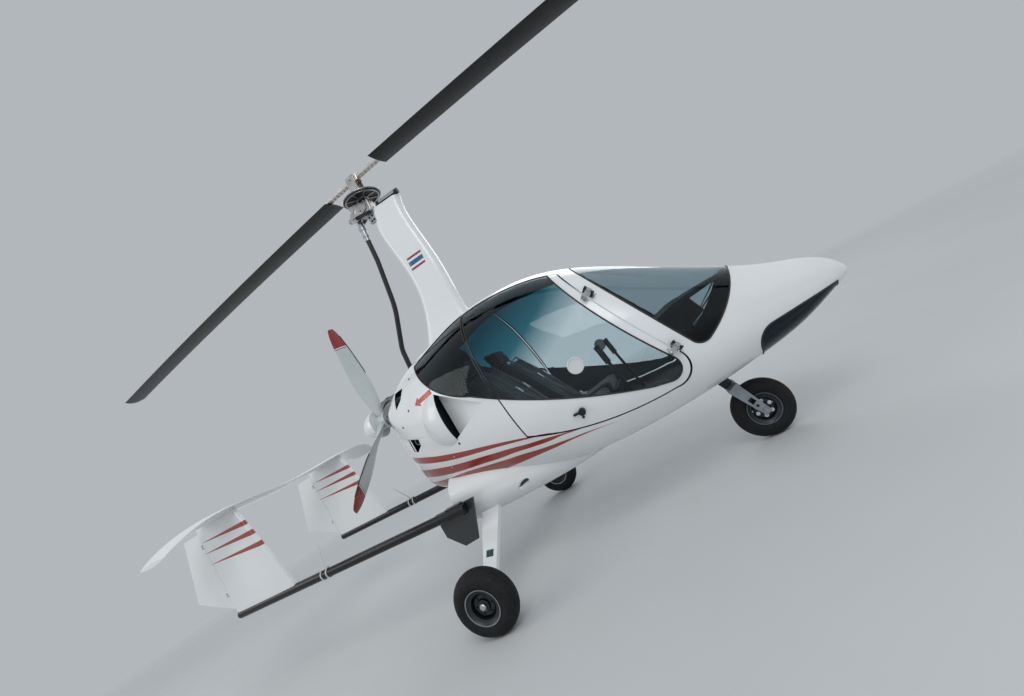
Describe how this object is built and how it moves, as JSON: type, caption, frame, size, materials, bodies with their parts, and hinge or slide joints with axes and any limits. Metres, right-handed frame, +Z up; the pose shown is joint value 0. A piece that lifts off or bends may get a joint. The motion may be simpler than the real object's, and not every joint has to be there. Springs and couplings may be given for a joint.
{
  "type": "gyrocopter",
  "caption": "Enclosed side-by-side gyroplane with free rotor on a faired mast, pusher propeller, hinged doors and twin-boom tail, on tricycle gear.",
  "frame": {"origin": "on the ground under the rotor hub, at the middle of the object's footprint", "axes": "+X towards the nose, +Y to port, +Z up"},
  "size_m": [8.5268, 2.236, 3.2611],
  "materials": {
    "white_gloss": "glossy white paint over composite",
    "clear_glazing": "clear acrylic",
    "tinted_glazing": "blue-grey tinted acrylic",
    "black_gloss": "glossy black paint",
    "blade_black": "black anodised",
    "satin_alloy": "satin",
    "dark_metal": "satin black",
    "engine_metal": "cast",
    "steel": "brushed",
    "tyre_rubber": "matt",
    "rim_alloy": "satin dark",
    "fork_grey": "satin grey",
    "seat_shell_plastic": "matt",
    "seat_cloth": "woven",
    "panel_black": "matt",
    "prop_grey": "light grey satin",
    "leg_white": "glossy white"
  },
  "bodies": {
    "airframe": {"cabin_shell": "white_gloss", "engine_cowl": "white_gloss", "windscreen": "clear_glazing", "fixed_windows": "tinted_glazing", "floor_and_firewall": "panel_black", "belly_pod": "white_gloss", "mast_fairing": "white_gloss", "rotor_head": "satin_alloy", "prerotator_motor": "dark_metal", "control_conduit": "dark_metal", "engine": "engine_metal", "tail_booms": "black_gloss", "boom_beam": "dark_metal", "tailplane": "white_gloss", "fins": "white_gloss", "main_leg": "leg_white", "main_axles": "steel", "nose_socket": "steel", "instrument_panel": "panel_black", "control_sticks": "panel_black", "seats": "seat_shell_plastic", "seat_cushions": "seat_cloth", "exhaust": "steel", "hinge_brackets": "dark_metal"},
    "door_left_swing": {"door_left": "white_gloss", "door_window_left": "tinted_glazing", "door_handle_left": "dark_metal"},
    "door_right_swing": {"door_right": "white_gloss", "door_window_right": "tinted_glazing", "door_handle_right": "dark_metal"},
    "rotor_shaft": {"ring_gear": "steel", "teeter_tower": "satin_alloy"},
    "rotor": {"hub_bar": "satin_alloy", "rotor_blades": "blade_black"},
    "airscrew": {"propeller": "prop_grey", "prop_spinner": "white_gloss"},
    "rudder_port": {"rudder_left": "white_gloss"},
    "rudder_starboard": {"rudder_right": "white_gloss"},
    "nose_leg": {"nose_fork": "fork_grey"},
    "nose_wheel": {"nose_tyre": "tyre_rubber", "nose_rim": "rim_alloy"},
    "wheel_port": {"main_tyre_left": "tyre_rubber", "main_rim_left": "rim_alloy"},
    "wheel_starboard": {"main_tyre_right": "tyre_rubber", "main_rim_right": "rim_alloy"}
  },
  "joints": [
    {"name": "door_left_hinge", "type": "hinge", "parent": "airframe", "child": "door_left_swing", "pos_m": [1.25825, 0.55298, 1.07491], "axis": [0.44, 0.0723, -0.8951], "range_deg": [0, 70]},
    {"name": "door_right_hinge", "type": "hinge", "parent": "airframe", "child": "door_right_swing", "pos_m": [1.25825, -0.55298, 1.07491], "axis": [-0.44, 0.0723, 0.8951], "range_deg": [0, 70]},
    {"name": "rotor_spin", "type": "hinge", "parent": "airframe", "child": "rotor_shaft", "pos_m": [0.014, 0, 3.06], "axis": [0.0872, 0, 0.9962], "continuous": true},
    {"name": "rotor_teeter", "type": "hinge", "parent": "rotor_shaft", "child": "rotor", "pos_m": [0.014, 0, 3.06], "axis": [-0.1472, -0.989, 0.0129], "range_deg": [-6, 6]},
    {"name": "airscrew_spin", "type": "hinge", "parent": "airframe", "child": "airscrew", "pos_m": [-0.81, 0, 1.367], "axis": [1, 0, 0], "continuous": true},
    {"name": "rudder_left_turn", "type": "hinge", "parent": "airframe", "child": "rudder_port", "pos_m": [-2.346, 0.594, 1.03], "axis": [0, 0, 1], "range_deg": [-25, 25]},
    {"name": "rudder_right_turn", "type": "hinge", "parent": "airframe", "child": "rudder_starboard", "pos_m": [-2.346, -0.594, 1.03], "axis": [0, 0, 1], "range_deg": [-25, 25]},
    {"name": "nose_steer", "type": "hinge", "parent": "airframe", "child": "nose_leg", "pos_m": [1.61, 0, 0.183], "axis": [-0.4226, 0, 0.9063], "range_deg": [-30, 30]},
    {"name": "nose_wheel_spin", "type": "hinge", "parent": "nose_leg", "child": "nose_wheel", "pos_m": [1.61, 0, 0.183], "axis": [0, 1, 0], "continuous": true},
    {"name": "wheel_left_spin", "type": "hinge", "parent": "airframe", "child": "wheel_port", "pos_m": [-0.125, 0.955, 0.183], "axis": [0, 1, 0], "continuous": true},
    {"name": "wheel_right_spin", "type": "hinge", "parent": "airframe", "child": "wheel_starboard", "pos_m": [-0.125, -0.955, 0.183], "axis": [0, 1, 0], "continuous": true}
  ],
  "couplings": [
    {"joint": "rudder_right_turn", "follows": "rudder_left_turn", "ratio": 1}
  ]
}
